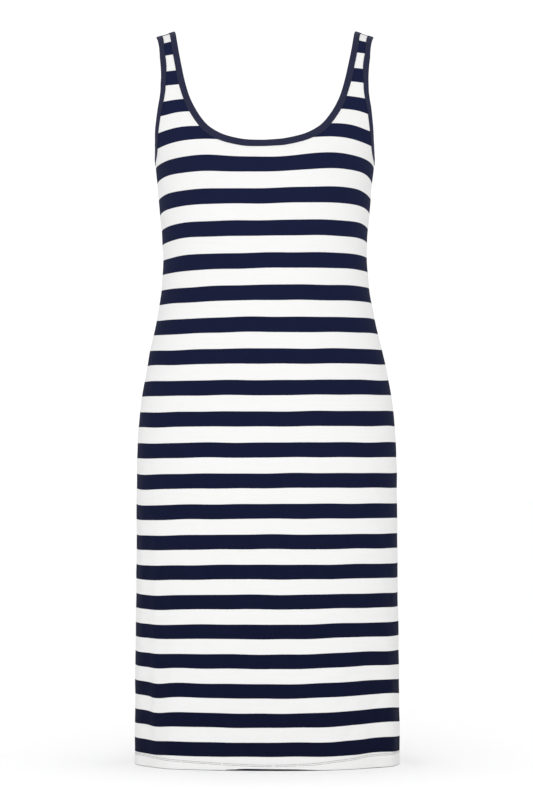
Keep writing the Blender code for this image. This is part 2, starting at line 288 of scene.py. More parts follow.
# Where the stripes are pulled down (above 0) or up. The angle runs round the
# whole body from the middle of the front, 90 degrees at the left side seam.
PULLS = table(
    "around drop across down shift",
    (-34, 0.157, 20, 0.035, -0.0053),
    (-90, 0.225, 27, 0.100, 0.0085),
    (-68, 0.125, 12, 0.025, 0.0025),
    (-38, 0.118, 12, 0.018, -0.0016),
    (-46, 0.110, 16, 0.035, -0.0010),
    (-35, 0.090, 9, 0.036, -0.0010),
    (-53, 0.098, 6, 0.035, 0.0012),
    (-61, 0.182, 18, 0.034, -0.0021),
    (-55, 0.290, 30, 0.022, -0.0009),
    (-62, 0.345, 30, 0.085, 0.0024),
    (-60, 0.408, 22, 0.030, 0.0008),
    (36, 0.152, 24, 0.055, -0.0078),
    (90, 0.220, 22, 0.075, 0.0085),
    (42, 0.055, 20, 0.060, -0.0030),
    (62, 0.122, 13, 0.025, 0.0030),
    (52, 0.250, 35, 0.080, -0.0019),
    (52, 0.100, 18, 0.050, -0.0011),
    (60, 0.008, 30, 0.026, -0.0017),
    (34, 0.088, 9, 0.038, -0.0015),
    (50, 0.080, 7, 0.018, 0.0010),
    (62, 0.188, 14, 0.032, -0.0026),
    (35, 0.335, 30, 0.045, -0.0009),
    (62, 0.462, 18, 0.030, 0.0008),
    (70, 0.485, 45, 0.065, -0.0019),
    (32, 0.615, 18, 0.040, -0.0008),
    (-65, 0.680, 28, 0.120, 0.0028),
    (-53, 0.770, 10, 0.045, 0.0009),
    (-75, 0.770, 20, 0.050, 0.0006),
    (-34, 0.845, 10, 0.055, 0.0009),
    (16, 0.855, 10, 0.045, 0.0009),
    (4, 0.905, 8, 0.025, 0.0008),
    (-55, 0.900, 9, 0.080, 0.0020),
    (-38, 0.850, 12, 0.070, -0.0009),
    (48, 0.850, 26, 0.080, -0.0022),
    (62, 0.935, 22, 0.060, -0.0029),
    (-2, 0.987, 31, 0.012, -0.0042),
    (-19, 0.987, 1.5, 0.012, 0.0008),
    (-14.5, 0.987, 1, 0.012, 0.0007),
    (-150, 0.300, 30, 0.100, 0.0020),
    (165, 0.560, 40, 0.120, -0.0025),
    (140, 0.900, 25, 0.090, 0.0020),
    (-160, 0.880, 25, 0.100, -0.0018),
)

# The slow waver of the stripes that tension and handling leave.
WAVERS = table(
    WAVE_COLUMNS,
    (0.061, 0.190, 0.3, 0.00014),
    (0.094, -0.120, 1.9, 0.00018),
    (0.143, 0.310, 3.6, 0.00022),
)

# The seams: how far the two faces part at a side seam, how far round it that
# and the calmer cloth reach, and what share of the creases' height is left
# there. Then the radius of the bend inwards, the width of the allowance, how
# it leans to the back, and the length over which it narrows at its ends.
SEAM_PARTING = 0.0011
SEAM_REACH = 0.012
SEAM_RELIEF = 0.3
SEAM_ROLL = 0.0006
SEAM_ALLOWANCE = 0.0052
SEAM_LEAN = 0.014
SEAM_TAPER = 0.002
SEAM_BENDS = np.array([1, 2, 3]) / 3 * SIDE * SEAM_ROLL
SEAM_ROWS = SEAM_BENDS[-1] + np.array([0.25, 0.55, 1.0]) * (SEAM_ALLOWANCE - SEAM_BENDS[-1])
SEAM_PAST = np.concatenate([SEAM_BENDS, SEAM_ROWS])

# The rows of stitches that hold the hem, above its edge at the middle, and
# how much higher they run to each side: sideways is the sine of the turn.
HEM_ROLL = 0.0005
HEM_ROWS = (0.0052, 0.0072)
HEM_MIDDLE = sum(HEM_ROWS) / len(HEM_ROWS)
HEM_RISE = table(
    "sideways rise",
    (-1.00, 0.0088),
    (-0.73, 0.0057),
    (-0.42, 0.0027),
    (0.00, 0.0000),
    (0.30, 0.0013),
    (0.47, 0.0044),
    (0.62, 0.0068),
    (0.78, 0.0101),
    (1.00, 0.0112),
)

# How far the hem's cut edge inside lies beyond the rows, how far above the
# hem the side seams' allowances end, and the groove and the puckers that the
# rows draw.
HEM_BEYOND = 0.0045
HEM_SEAM_END = 0.012
HEM_GROOVE = 0.00060
HEM_GROOVE_SPREAD = 0.0026
HEM_PUCKER_SPREAD = 3 * HEM_GROOVE_SPREAD
RING_COLUMNS = "length phase size"
HEM_PUCKERS = table(
    RING_COLUMNS, (0.0113, 0.2, 0.00022), (0.0171, 1.7, 0.00022), (0.0397, 4.1, 0.0003)
)

# How fine the cloth is: its columns, and its rows' steps on the body, on the
# straps, above the hem, round its fold and up inside it. SHEET_SCALE is the
# distance that one radian of turn past a side seam stands for.
SHEET_SCALE = 0.14
COLUMNS = 104
ROW_STEP = 0.0046
SHOULDER_STEP = 0.0028
HEM_STEPS = 19
FOLD_STEPS = 6
RISE_STEPS = 10

# How edges are followed: the steps and samples along them, the small step
# that slopes are read over, the rounds that move an edge in, and how much the
# way down counts beside the way round in telling where its cloth lies.
EDGE_STEP = 0.0035
EDGE_SAMPLES = 400
SMALL_STEP = 1e-4
CORRECTIONS = 6
DOWN_SHARE = 0.3

# How far the lattice keeps from the cloth's outline and what counts as one
# point, both in lattice steps, the angles up to which two triangles join, and
# how squarely a face looks to the front or the back to tell the outside.
LATTICE_CLEAR = 0.38
LATTICE_WELD = 1e-5
JOIN_FACES = math.radians(60)
JOIN_SHAPES = math.radians(50)
FACING = 0.7

# The bindings: how far one covers the cloth, how deep the cloth's edge lies
# in it, how far the seam allowances stay clear of it, what share of its
# finished width a strip has when it is unfolded, and how its thickness and
# its sewn edge vary round it. The edge wanders from WANDER_FROM on.
BINDING_REACH = 0.008
TUCKED = 0.0012
SEWN_CLEAR = 0.0004
UNFOLDED = 2.1
WANDER_FROM = 0.5
BINDING_UNEVEN = table(
    RING_COLUMNS, (0.0137, 0.5, 0.00006), (0.0311, 2.2, 0.00010), (0.0790, 4.0, 0.00012)
)
BINDING_WANDER = table(
    RING_COLUMNS, (0.0470, 1.1, 0.00012), (0.1210, 3.0, 0.00015)
)

# The folded strip's section: across is the share of its width from the
# folded edge to the sewn one, height the share of its whole thickness from
# the middle. The first run goes out over the outer side, the rest returns.
BINDING_SECTION = table(
    "across height",
    (0.000, 0.00),
    (0.010, 0.22),
    (0.045, 0.38),
    (0.120, 0.47),
    (0.250, 0.52),
    (0.450, 0.54),
    (0.640, 0.52),
    (0.750, 0.47),
    (0.815, 0.43),
    (0.880, 0.46),
    (0.950, 0.47),
    (0.990, 0.42),
    (1.000, 0.32),
    (0.990, 0.22),
    (0.940, 0.19),
    (0.600, 0.19),
    (0.300, 0.19),
    (0.140, 0.17),
    (0.105, 0.08),
)
BINDING_ROW = (0.815, 0.43)

# The stitches: how much of a step one fills, how flat its thread is pressed,
# and how much of the thread's thickness its middle lies above the cloth. The
# overlock begins and ends at these drops, and its stitches lie at a share of
# the allowance's width and are a share of it long. The last two say how far
# the stitches of the looper and the overlock slant along their rows.
STITCH_FILL = 0.88
HEM_STITCH_FILL = 0.92
THREAD_FLATNESS = 0.8
THREAD_RISE = 0.22
BINDING_THREAD_RISE = 0.2
ROW_SAMPLES = 400
OVERLOCK_BEGIN = ARMHOLE[-1].drop + BINDING_REACH + 0.006
OVERLOCK_END = LENGTH - HEM_SEAM_END - 0.005
OVERLOCK_ACROSS = 0.72
OVERLOCK_STEP = 0.001
OVERLOCK_LENGTH = 0.6
ZIGZAG_ALONG = 0.6
OVERLOCK_ALONG = 0.3

# The studio
FLOOR_SIZE = 60
LAMP_PLACE = (-0.25, -3.2, -0.10)
LAMP_AIM = Vector((0, 0, -0.32))
LAMP_SIZE = (2.2, 1.6)
EYE_ASIDE = 0.002
EYE_HEIGHT = -0.576
EYE_TILT = math.radians(1.03)
LENS = 149.7


# The form's curves


def smooth(stations, values, at):
    """A smooth curve through the values that rises and falls only where they do."""
    stations, values = np.asarray(stations, float), np.asarray(values, float)
    slopes = np.diff(values) / np.diff(stations)
    tangents = np.zeros(len(values))
    tangents[0], tangents[-1] = slopes[0], slopes[-1]
    before, after = slopes[:-1], slopes[1:]
    same_way = before * after > 0
    total = np.where(same_way, before + after, 1.0)
    tangents[1:-1] = np.where(same_way, 2 * before * after / total, 0.0)
    at = np.clip(at, stations[0], stations[-1])
    left = np.clip(np.searchsorted(stations, at) - 1, 0, len(slopes) - 1)
    step = stations[left + 1] - stations[left]
    t = (at - stations[left]) / step
    return (
        values[left] * (1 + 2 * t) * (1 - t) ** 2
        + values[left + 1] * (3 - 2 * t) * t**2
        + step * (tangents[left] * t * (1 - t) ** 2 - tangents[left + 1] * t**2 * (1 - t))
    )


def read(rows, column, at, by="drop"):
    """A table's column as a smooth curve, at a drop or at another column's value."""
    return smooth([getattr(row, by) for row in rows], [getattr(row, column) for row in rows], at)


def ease(x):
    """0 below 0, 1 above 1, and a soft step between."""
    x = np.clip(x, 0, 1)
    return x * x * (3 - 2 * x)


def unit(vectors):
    """The same directions, 1 long."""
    return vectors / np.linalg.norm(vectors, axis=-1, keepdims=True)


def gone_along(points):
    """How far along a path each of its points lies."""
    return np.concatenate([[0], np.cumsum(np.linalg.norm(np.diff(points, axis=0), axis=1))])


def swing(wave, turns):
    """How high a wave is after so many turns."""
    return wave.size * np.sin(math.tau * turns + wave.phase)


def waves(rows, arc, drop):
    """A sum of waves that run slantwise over the cloth."""
    return sum(swing(wave, arc / wave.round_length + drop / wave.drop_length) for wave in rows)


def fold_height(face, turn, drop):
    """How far the largest folds stand out at a place."""
    height = np.zeros(np.broadcast(turn, drop).shape)
    for fold in FOLDS[face]:
        share = ease((drop - fold.top) / (LENGTH - fold.top))
        away = (np.degrees(turn) - (fold.turn + fold.lean * share)) / fold.spread
        height += fold.height * share * np.exp(-(away**2))
    return height


def on_form(face, turn, drop):
    """The point of the form at a place."""
    turn, drop = np.asarray(turn, float), np.asarray(drop, float)
    bend = np.clip((drop - CREST) / SHOULDER_RADIUS, 0, ARC_ANGLE)
    over = drop < ARC_DROP
    fall = np.where(over, SHOULDER_RADIUS * (1 - np.cos(bend)), drop)
    reach = np.where(over, np.sin(bend) / math.sin(ARC_ANGLE), 1.0)
    depth = read(RINGS, FACES[face], drop) * reach
    power = read(RINGS, "fullness", drop)
    half_width = read(RINGS, "half_width", drop)
    across = np.sin(turn)
    rounding = np.clip(1 - np.abs(across) ** power, 0, 1) ** (1 / power)
    proud = 1 + fold_height(face, turn, drop) / np.hypot(half_width * across, depth * rounding + 1e-6)
    x = half_width * across * proud
    y = face * depth * rounding * proud
    tilt = SHOULDER_FALL * ease((LEVEL_BELOW - drop) / (LEVEL_BELOW - CREST))
    z = -fall - tilt * (np.abs(x) - STRAP_MIDDLE)
    return np.stack([x + read(RINGS, "shift", drop), y, z], axis=-1)


def turn_step(face, turn, drop):
    """The form's move as turn goes from a little less to a little more, and that change of turn."""
    inner, outer = (np.clip(turn + step, -SIDE, SIDE) for step in (-SMALL_STEP, SMALL_STEP))
    return on_form(face, outer, drop) - on_form(face, inner, drop), (outer - inner)[:, None]


def directions(face, turn, drop):
    """Unit vectors on the form: the way turn grows, the way drop grows, and out."""
    round_way = unit(turn_step(face, turn, drop)[0])
    above = np.maximum(drop - SMALL_STEP, CREST)
    down = unit(on_form(face, turn, drop + SMALL_STEP) - on_form(face, turn, above))
    return round_way, down, unit(-face * np.cross(down, round_way))


def resampled(face, turn, drop):
    """The same edge with evenly spaced points."""
    gone = gone_along(on_form(face, turn, drop))
    even = np.linspace(0, gone[-1], max(2, round(gone[-1] / EDGE_STEP)) + 1)
    return np.interp(even, gone, turn), np.interp(even, gone, drop)


def neck_edge(face):
    """The neck edge from the -X strap's crest to the +X strap's."""
    count = np.arange(len(NECK[face]))
    at = np.linspace(0, count[-1], EDGE_SAMPLES)
    drop = smooth(count, [p.drop for p in NECK[face]], at)
    half_width = smooth(count, [p.half_width for p in NECK[face]], at)
    turn = np.arcsin(half_width / read(RINGS, "half_width", drop))
    turn = np.concatenate([-turn, turn[-2::-1]])
    across = np.concatenate([-half_width, half_width[-2::-1]])
    drop = np.concatenate([drop, drop[-2::-1]])
    drop -= NECK_TILT * np.sin(math.pi * np.clip(across / NECK_TILT_REACH, -1, 1))
    return resampled(face, turn, drop)


def armhole_edge(face, side):
    """One face's half of an armhole edge, from the strap's crest to the side seam."""
    bottom = ARMHOLE[-1].drop
    drop = CREST + (bottom - CREST) * np.sin(np.linspace(0, SIDE, EDGE_SAMPLES))
    return resampled(face, side * np.radians(read(ARMHOLE, FACES[face], drop)), drop)


def moved_in(face, turn, drop, distance, outwards):
    """An edge moved into the cloth, which lies below it and towards greater turn if outwards is 1."""
    points = on_form(face, turn, drop)
    round_way, down, out = directions(face, turn, drop)
    inward = np.cross(out, unit(np.gradient(points, axis=0)))
    cloth = outwards * np.sign(turn)[:, None] * round_way + DOWN_SHARE * down
    inward *= np.sign((inward * cloth).sum(axis=1))[:, None]
    goal = points + distance * inward
    for _ in range(CORRECTIONS):
        here = on_form(face, turn, drop)
        miss = goal - here
        moved, step = turn_step(face, turn, drop)
        per_turn = moved / step
        per_drop = (on_form(face, turn, drop + SMALL_STEP) - here) / SMALL_STEP
        tt, dd = (per_turn**2).sum(axis=1), (per_drop**2).sum(axis=1)
        td = (per_turn * per_drop).sum(axis=1)
        mt, md = (miss * per_turn).sum(axis=1), (miss * per_drop).sum(axis=1)
        whole = tt * dd - td**2
        turn = np.clip(turn + (mt * dd - md * td) / whole, -SIDE, SIDE)
        drop = np.maximum(drop + (md * tt - mt * td) / whole, CREST)
    return turn, drop


def sewn_edges(face, distance):
    """The neck edge, the -X and the +X armhole edge, moved into the cloth by a distance."""
    neck = moved_in(face, *neck_edge(face), distance, outwards=1)
    neck[1][[0, -1]] = CREST
    edges = [neck]
    for side in (-1, 1):
        turn, drop = moved_in(face, *armhole_edge(face, side), distance, outwards=-1)
        drop[0] = CREST
        turn[-1] = side * SIDE
        edges.append((turn, drop))
    return edges


# The cloth


class Rounding:
    """How far round its face each place lies, in metres, read from a grid."""

    STEPS = 180

    def __init__(self, face):
        turns = np.linspace(-SIDE, SIDE, self.STEPS + 1)
        drops = np.linspace(CREST, LENGTH, self.STEPS + 1)
        pieces = np.linalg.norm(np.diff(on_form(face, turns[None], drops[:, None]), axis=1), axis=2)
        gone = np.concatenate([np.zeros((len(drops), 1)), np.cumsum(pieces, axis=1)], axis=1)
        self.arcs = gone - gone[:, [self.STEPS // 2]]

    def __call__(self, turn, drop):
        past = np.sign(turn) * np.maximum(np.abs(turn) - SIDE, 0) * SHEET_SCALE
        column = (np.clip(turn, -SIDE, SIDE) + SIDE) / (2 * SIDE) * self.STEPS
        row = (np.clip(drop, CREST, LENGTH) - CREST) / (LENGTH - CREST) * self.STEPS
        i = np.clip(column.astype(int), 0, self.STEPS - 1)
        j = np.clip(row.astype(int), 0, self.STEPS - 1)
        s, t = column - i, row - j
        upper = self.arcs[j, i] * (1 - s) + self.arcs[j, i + 1] * s
        lower = self.arcs[j + 1, i] * (1 - s) + self.arcs[j + 1, i + 1] * s
        return upper * (1 - t) + lower * t + past


def stripe_shift(face, turn, drop, arc):
    """How far the stripes are pulled down at a place."""
    turn = np.clip(turn, -SIDE, SIDE)
    around = np.degrees(turn if face == FRONT else np.sign(turn + 1e-9) * math.pi - turn)
    shift = waves(WAVERS, arc, drop)
    for pull in PULLS:
        away = (around - pull.around + 180) % 360 - 180
        shift += pull.shift * np.exp(-((away / pull.across) ** 2) - ((drop - pull.drop) / pull.down) ** 2)
    return shift


def crease_height(face, points, turn, drop, arc):
    """How far creases and ripples stand out at each of the form's points."""
    height = waves(RIPPLES, arc, drop)
    along = np.linspace(0, 1, CREASE_POINTS)
    for crease in CREASES[face]:
        spine_turn = np.radians(crease.turn + (crease.end_turn - crease.turn) * along)
        spine = on_form(face, spine_turn, crease.drop + (crease.end_drop - crease.drop) * along)
        reach = CREASE_REACH * crease.spread
        low, high = spine.min(axis=0) - reach, spine.max(axis=0) + reach
        near = np.flatnonzero(((points > low) & (points < high)).all(axis=1))
        away = np.linalg.norm(points[near, None] - spine[None], axis=2)
        share = along[away.argmin(axis=1)]
        swell = np.sin(math.pi * np.clip(share, 0, 1)) ** CREASE_FULLNESS
        swell *= 1 + CREASE_UNEVEN * np.sin(CREASE_BEATS * share + CREASE_SHUFFLE * crease.drop)
        height[near] += crease.height * swell * np.exp(-((away.min(axis=1) / crease.spread) ** 2))
    return height


def hem_rise(turn):
    """How much higher the hem's stitches run there than at the middle."""
    return read(HEM_RISE, "rise", np.sin(turn), by="sideways")


def hem_row(turn, above):
    """The drop of a row of the hem's stitches that lies so far above the edge at the middle."""
    return LENGTH - above - hem_rise(turn)


def hem_depth(turn):
    """How far above the hem's edge its cut edge lies inside."""
    return HEM_ROWS[-1] + hem_rise(turn) + HEM_BEYOND


def hem_height(turn, drop, arc):
    """The groove and the puckers along the hem's stitching."""
    away = drop - hem_row(turn, HEM_MIDDLE)
    puckers = sum(swing(wave, arc / wave.length) for wave in HEM_PUCKERS)
    groove = HEM_GROOVE * np.exp(-((away / HEM_GROOVE_SPREAD) ** 2))
    return puckers * np.exp(-((away / HEM_PUCKER_SPREAD) ** 2)) - groove


class Cloth:
    """One face of the dress: where its cloth lies, with what is turned in."""

    def __init__(self, face, thickness):
        self.face = face
        self.fold = LENGTH - thickness / 2 - HEM_ROLL
        self.arc = Rounding(face)
        self.edges = np.concatenate([on_form(face, *run) for run in sewn_edges(face, 0)])

    def hem_end(self, turn):
        """The drop of the hem's cut edge, counted on past the fold."""
        return self.fold + math.pi * HEM_ROLL + hem_depth(turn)

    def place(self, turn, drop):
        """Points of the cloth's middle, and the way out of it there."""
        turn, drop = np.asarray(turn, float), np.asarray(drop, float)
        past_seam = np.maximum(np.abs(turn) - SIDE, 0) * SHEET_SCALE + np.maximum(CREST - drop, 0)
        past_fold = np.maximum(drop - self.fold, 0)
        bend = np.minimum(past_fold / HEM_ROLL, math.pi)
        rise = past_fold - bend * HEM_ROLL
        level = np.clip(drop, CREST, self.fold) + HEM_ROLL * np.sin(bend) - rise
        around = np.clip(turn, -SIDE, SIDE)
        points = on_form(self.face, around, level)
        out = directions(self.face, around, level)[2]
        height = self.relief(points, around, level) - HEM_ROLL * (1 - np.cos(bend))
        points = points + height[:, None] * out
        points[:, 1] += self.face * SEAM_PARTING * np.exp(-((points[:, 1] / SEAM_REACH) ** 2))
        return self.turned_in(points, out, past_seam), out

    def relief(self, points, turn, drop):
        """Creases, ripples and the hem's puckers, level again along the bound edges."""
        arc = self.arc(turn, drop)
        height = crease_height(self.face, points, turn, drop, arc) + hem_height(turn, drop, arc)
        upper = drop < ARMHOLE[-1].drop + 2 * CREASE_CLEAR
        away = np.full(len(points), np.inf)
        away[upper] = np.linalg.norm(points[upper, None] - self.edges[None], axis=2).min(axis=1)
        clear = ease((away - TUCKED - BINDING_REACH) / CREASE_CLEAR)
        seams = ease(np.abs(points[:, 1]) / SEAM_REACH)
        return height * clear * (SEAM_RELIEF + (1 - SEAM_RELIEF) * seams)

    def turned_in(self, points, out, past_seam):
        """Where cloth lies that bends inwards past a seam and leans to the back."""
        bend = np.minimum(past_seam / SEAM_ROLL, SIDE)
        beyond = past_seam - bend * SEAM_ROLL
        moved = points - (SEAM_ROLL * (1 - np.cos(bend)) + beyond)[:, None] * out
        moved[:, 1] += beyond**2 / (2 * SEAM_LEAN) - self.face * SEAM_ROLL * np.sin(bend)
        return moved

    def pattern(self, turn, drop):
        """How far round and how far along the knit a place lies, in metres of stripes."""
        arc = self.arc(turn, drop)
        number = read(STRIPES, "number", drop - stripe_shift(self.face, turn, drop, arc))
        return np.stack([arc, number * STRIPE_REPEAT], axis=-1)


def lattice_columns():
    """The turns of the cloth's columns, with those in the seam allowances."""
    past = SEAM_PAST / SHEET_SCALE
    return np.concatenate([-SIDE - past[::-1], np.linspace(-SIDE, SIDE, COLUMNS + 1), SIDE + past])


def lattice_rows(cloth):
    """The drops of the cloth's rows, with those past the shoulder seam and the hem's fold."""
    near_hem = LENGTH - hem_depth(SIDE)
    shoulder = np.linspace(CREST, LEVEL_BELOW, round((LEVEL_BELOW - CREST) / SHOULDER_STEP) + 1)
    body = np.linspace(LEVEL_BELOW, near_hem, round((near_hem - LEVEL_BELOW) / ROW_STEP) + 1)
    hem = np.linspace(near_hem, cloth.fold, HEM_STEPS + 1)
    bends = cloth.fold + HEM_ROLL * math.pi * np.arange(1, FOLD_STEPS + 1) / FOLD_STEPS
    rise = np.linspace(bends[-1], cloth.hem_end(SIDE), RISE_STEPS + 1)
    return np.concatenate([CREST - SEAM_PAST[::-1], shoulder, body[1:], hem[1:], bends, rise[1:]])


def crest_steps(neck_turn, neck_sewn, arm_turn, arm_sewn):
    """The strap's end with its seam allowance, as places from the neck to the armhole."""
    past, bent = CREST - SEAM_ALLOWANCE, CREST - SEAM_BENDS[-1]
    return [
        (neck_turn, bent),
        (neck_sewn, bent),
        (neck_sewn, past),
        (arm_sewn, past),
        (arm_sewn, bent),
        (arm_turn, bent),
    ]


def side_steps(cloth, first):
    """The side seam with its allowance, as places from the armhole to the end of the hem."""
    bent, past = SIDE + SEAM_BENDS[-1] / SHEET_SCALE, SIDE + SEAM_ALLOWANCE / SHEET_SCALE
    return [
        (bent, first),
        (bent, first + BINDING_REACH),
        (past, first + BINDING_REACH + SEAM_TAPER),
        (past, LENGTH - HEM_SEAM_END - SEAM_TAPER),
        (bent, LENGTH - HEM_SEAM_END),
        (bent, cloth.fold),
        (SIDE, cloth.fold),
    ]


def cloth_outline(cloth):
    """The cut edge of one face's cloth as one loop of places."""
    neck, minus, plus = sewn_edges(cloth.face, TUCKED)
    sewn_neck, sewn_minus, sewn_plus = sewn_edges(cloth.face, BINDING_REACH + SEWN_CLEAR)
    hem_turn = np.linspace(SIDE, -SIDE, COLUMNS + 1)
    minus_side = [(-turn, drop) for turn, drop in side_steps(cloth, minus[1][-1])]
    minus_crest = crest_steps(neck[0][0], sewn_neck[0][0], minus[0][0], sewn_minus[0][0])
    loop = [
        np.stack(neck, axis=1),
        crest_steps(neck[0][-1], sewn_neck[0][-1], plus[0][0], sewn_plus[0][0]),
        np.stack(plus, axis=1),
        side_steps(cloth, plus[1][-1]),
        np.stack([hem_turn, cloth.hem_end(hem_turn)], axis=1),
        minus_side[::-1],
        np.stack(minus, axis=1)[::-1],
        minus_crest[::-1],
    ]
    return np.concatenate([np.asarray(run, float) for run in loop])


def divided(outline):
    """The loop with its long straight runs divided, so that none is longer than a lattice step."""
    points = []
    for start, end in zip(outline, np.roll(outline, -1, axis=0)):
        count = max(1, math.ceil(np.abs(end - start).max()))
        points += [start + (end - start) * step / count for step in range(count)]
    return np.array(points)


def cloth_places(cloth):
    """The places and the faces of one face's cloth, on a lattice that its outline trims."""
    lines = lattice_columns(), lattice_rows(cloth)
    numbers = [np.arange(len(line)) for line in lines]
    outline = cloth_outline(cloth)
    outline = divided(np.stack([np.interp(outline[:, k], lines[k], numbers[k]) for k in (0, 1)], axis=1))
    inside = np.array([(i, j) for j in numbers[1] for i in numbers[0]], float)
    away = np.full(len(inside), np.inf)
    for corner in outline:
        away = np.minimum(away, np.linalg.norm(inside - corner, axis=1))
    flat = [Vector(place) for place in np.concatenate([outline, inside[away > LATTICE_CLEAR]])]
    places, _, faces, *_ = delaunay_2d_cdt(flat, [], [list(range(len(outline)))], 1, LATTICE_WELD)
    used = sorted({corner for f in faces for corner in f})
    number = {corner: i for i, corner in enumerate(used)}
    places = np.array(places)[used]
    turn, drop = (np.interp(places[:, k], numbers[k], lines[k]) for k in (0, 1))
    return turn, drop, [[number[c] for c in f] for f in faces]


# Meshes


def mesh_object(name, points, faces, material):
    """A smooth mesh object at the origin."""
    mesh = bpy.data.meshes.new(name)
    mesh.from_pydata([tuple(p) for p in points], [], faces)
    mesh.materials.append(material)
    mesh.shade_smooth()
    placed = bpy.data.objects.new(name, mesh)
    bpy.context.scene.collection.objects.link(placed)
    return placed


def write_pattern(piece, places):
    """The place in the knit of each corner, as the piece's UV map."""
    uv = piece.data.uv_layers.new(name="cloth")
    corners = np.empty(len(piece.data.loops), int)
    piece.data.loops.foreach_get("vertex_index", corners)
    uv.data.foreach_set("uv", np.asarray(places)[corners].astype(np.float32).ravel())


def changed(piece, operation, **settings):
    """Has a bmesh operation work on all of a piece's faces."""
    shape = bmesh.new()
    shape.from_mesh(piece.data)
    operation(shape, faces=shape.faces, **settings)
    shape.to_mesh(piece.data)
    shape.free()


def turned_out(piece, face):
    """Has the faces of an open cloth point away from the body."""
    mesh = piece.data
    middle = np.mean([p.normal.y for p in mesh.polygons if abs(p.normal.y) > FACING])
    if middle * face < 0:
        mesh.flip_normals()


def walled(piece, thickness):
    """Gives a cloth its thickness, half to each side."""
    wall = piece.modifiers.new("wall", "SOLIDIFY")
    wall.thickness = thickness
    wall.offset = 0


def on_root(piece, slot, *nodes):
    """Has a piece ride with the dress and stand for solids. The slot is not used."""
    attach(piece, "root")
    if nodes:
        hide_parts(*nodes)


# Materials


class Socket:
    """A value or colour of a material that Python's operators work on."""

    def __init__(self, shade, output):
        self.shade = shade
        self.output = output

    def maths(self, operation, *values):
        return self.shade.node("ShaderNodeMath", {"operation": operation}, values)

    def __add__(self, other):
        return self.maths("ADD", self, other)

    def __sub__(self, other):
        return self.maths("SUBTRACT", self, other)

    def __rsub__(self, other):
        return self.maths("SUBTRACT", other, self)

    def __mul__(self, other):
        return self.maths("MULTIPLY", self, other)

    def __truediv__(self, other):
        return self.maths("DIVIDE", self, other)

    __radd__ = __add__
    __rmul__ = __mul__

    def part(self):
        """What is left above the whole number."""
        return self.maths("FRACT", self)

    def size(self):
        return self.maths("ABSOLUTE", self)

    def limited(self):
        """The value held between 0 and 1."""
        return self.shade.node("ShaderNodeClamp", {}, [self, 0.0, 1.0])


class Shade:
    """Builds one material's nodes."""

    def __init__(self, name):
        self.material = bpy.data.materials.new(name)
        self.material.use_nodes = True
        self.tree = self.material.node_tree
        self.shader = self.tree.nodes["Principled BSDF"]

    def node(self, kind, settings, sockets, output=0):
        """Adds a node with its settings and the values or links of its sockets."""
        made = self.tree.nodes.new(kind)
        for name, value in settings.items():
            setattr(made, name, value)
        for key, value in sockets.items() if isinstance(sockets, dict) else enumerate(sockets):
            self.feed(made.inputs[key], value)
        return Socket(self, made.outputs[output])

    def feed(self, socket, value):
        if isinstance(value, Socket):
            self.tree.links.new(value.output, socket)
        else:
            socket.default_value = value

    def finished(self, **values):
        """The material, with the shader's own sockets set or linked. They are named with _ for a space."""
        for name, value in values.items():
            self.feed(self.shader.inputs[name.replace("_", " ")], value)
        return self.material

    def pattern(self):
        """How far round and how far along the cloth, in metres."""
        uv = self.node("ShaderNodeUVMap", {"uv_map": "cloth"}, [])
        split = self.node("ShaderNodeSeparateXYZ", {}, [uv]).output.node
        return Socket(self, split.outputs[0]), Socket(self, split.outputs[1])

    def speckle(self, across, along, detail=2.0, roughness=0.5):
        """Noise on stretched pattern coordinates, about 0 and up to 0.5 to each side."""
        vector = self.node("ShaderNodeCombineXYZ", {}, [across, along, 0.0])
        sockets = {"Vector": vector, "Scale": 1.0, "Detail": detail, "Roughness": roughness}
        return self.node("ShaderNodeTexNoise", {}, sockets) - 0.5

    def cloud(self, scale, detail):
        """Noise on the piece's own coordinates, 0 to 1."""
        place = self.node("ShaderNodeTexCoord", {}, [], output="Object")
        return self.node("ShaderNodeTexNoise", {}, {"Vector": place, "Scale": scale, "Detail": detail})

    def mixed(self, share, first, second, **settings):
        """A blend of two colours."""
        settings["data_type"] = "RGBA"
        return self.node("ShaderNodeMix", settings, {0: share, 6: first, 7: second}, output=2)

    def shaded(self, colour, amount):
        """A property's colour made lighter or darker by a factor."""
        grey = self.node("ShaderNodeCombineColor", {}, [amount, amount, amount])
        return self.mixed(1.0, (*colour, 1.0), grey, blend_type="MULTIPLY")

    def bumped(self, height, distance, strength):
        """A normal that follows a height of 0 to 1, that many metres deep."""
        sockets = {"Strength": strength, "Distance": distance, "Height": height}
        return self.node("ShaderNodeBump", {}, sockets)


def knit_height(across, along, knit):
    """The relief of stocking stitch, 0 to 1, and how near a place is to the gap between two wales."""
    edge = ((across / knit.wale).part() - 0.5).size() * 2
    leg = ((along / knit.course + edge * 0.5).part() - 0.5).size() * 2
    return (1 - edge * edge) * (leg * 0.4 + 0.6), edge


